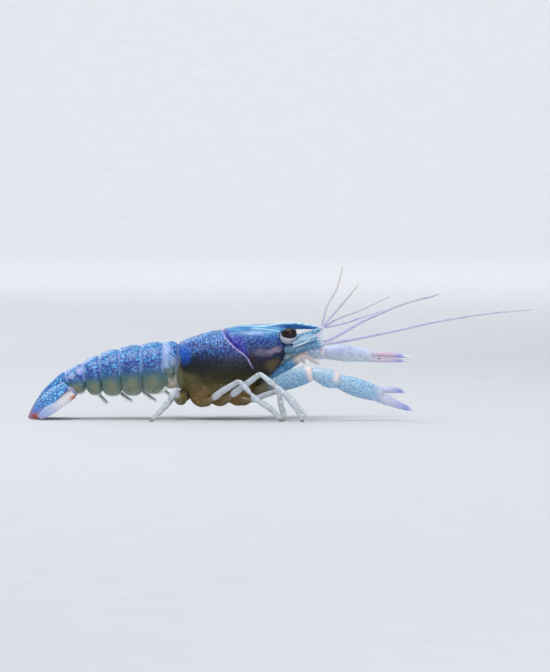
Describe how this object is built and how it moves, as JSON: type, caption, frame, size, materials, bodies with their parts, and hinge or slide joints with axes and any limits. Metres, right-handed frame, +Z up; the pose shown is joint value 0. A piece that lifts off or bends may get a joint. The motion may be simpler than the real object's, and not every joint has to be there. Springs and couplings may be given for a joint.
{
  "type": "everglades crayfish",
  "caption": "Life-size freshwater crayfish standing with its claws held forward, long feelers spread and the tail fan lowered to the floor.",
  "frame": {"origin": "bottom centre of the bounding box: on the floor, midway between tail tip and feeler tip", "axes": "+X the way the animal faces, +Y its left side, +Z up from the floor"},
  "size_m": [0.1249, 0.055, 0.0377],
  "materials": {
    "shell_blue": "wet blue shell, mottled pale cyan and violet",
    "shell_thorax": "wet shell, blue above to olive and ochre below",
    "tail_blade": "thin translucent shell with ribs, blue and lavender with pale rims",
    "eye_cornea": "glossy black-brown",
    "eye_stalk": "satin cream",
    "claw_shell": "satin pale sky blue, granular, pale joints and tips",
    "leg_shell": "satin, translucent white-lavender",
    "feeler": "satin lavender, ringed"
  },
  "bodies": {
    "root": {"abdomen_1": "shell_blue", "abdomen_2": "shell_blue", "abdomen_3": "shell_blue", "abdomen_4": "shell_blue", "abdomen_5": "shell_blue", "abdomen_6": "shell_blue", "antenna_left_base": "claw_shell", "antenna_left_scale": "claw_shell", "antenna_left_whip": "feeler", "antenna_right_base": "claw_shell", "antenna_right_scale": "claw_shell", "antenna_right_whip": "feeler", "antennule_left_base": "claw_shell", "antennule_left_inner": "feeler", "antennule_left_outer": "feeler", "antennule_right_base": "claw_shell", "antennule_right_inner": "feeler", "antennule_right_outer": "feeler", "claw_left_base": "claw_shell", "claw_left_carpus": "claw_shell", "claw_left_finger": "claw_shell", "claw_left_merus": "claw_shell", "claw_left_palm": "claw_shell", "claw_right_base": "claw_shell", "claw_right_carpus": "claw_shell", "claw_right_finger": "claw_shell", "claw_right_merus": "claw_shell", "claw_right_palm": "claw_shell", "eye_left": "eye_cornea", "eye_right": "eye_cornea", "eyestalk_left": "eye_stalk", "eyestalk_right": "eye_stalk", "head": "shell_blue", "leg_left_2_lower": "leg_shell", "leg_left_2_upper": "leg_shell", "leg_left_3_lower": "leg_shell", "leg_left_3_upper": "leg_shell", "leg_left_4_lower": "leg_shell", "leg_left_4_upper": "leg_shell", "leg_left_5_lower": "leg_shell", "leg_left_5_upper": "leg_shell", "leg_right_2_lower": "leg_shell", "leg_right_2_upper": "leg_shell", "leg_right_3_lower": "leg_shell", "leg_right_3_upper": "leg_shell", "leg_right_4_lower": "leg_shell", "leg_right_4_upper": "leg_shell", "leg_right_5_lower": "leg_shell", "leg_right_5_upper": "leg_shell", "maxilliped_left": "claw_shell", "maxilliped_right": "claw_shell", "telson": "tail_blade", "thorax": "shell_thorax", "uropod_left_inner": "tail_blade", "uropod_left_outer": "tail_blade", "uropod_left_root": "tail_blade", "uropod_right_inner": "tail_blade", "uropod_right_outer": "tail_blade", "uropod_right_root": "tail_blade"}
  },
  "joints": []
}
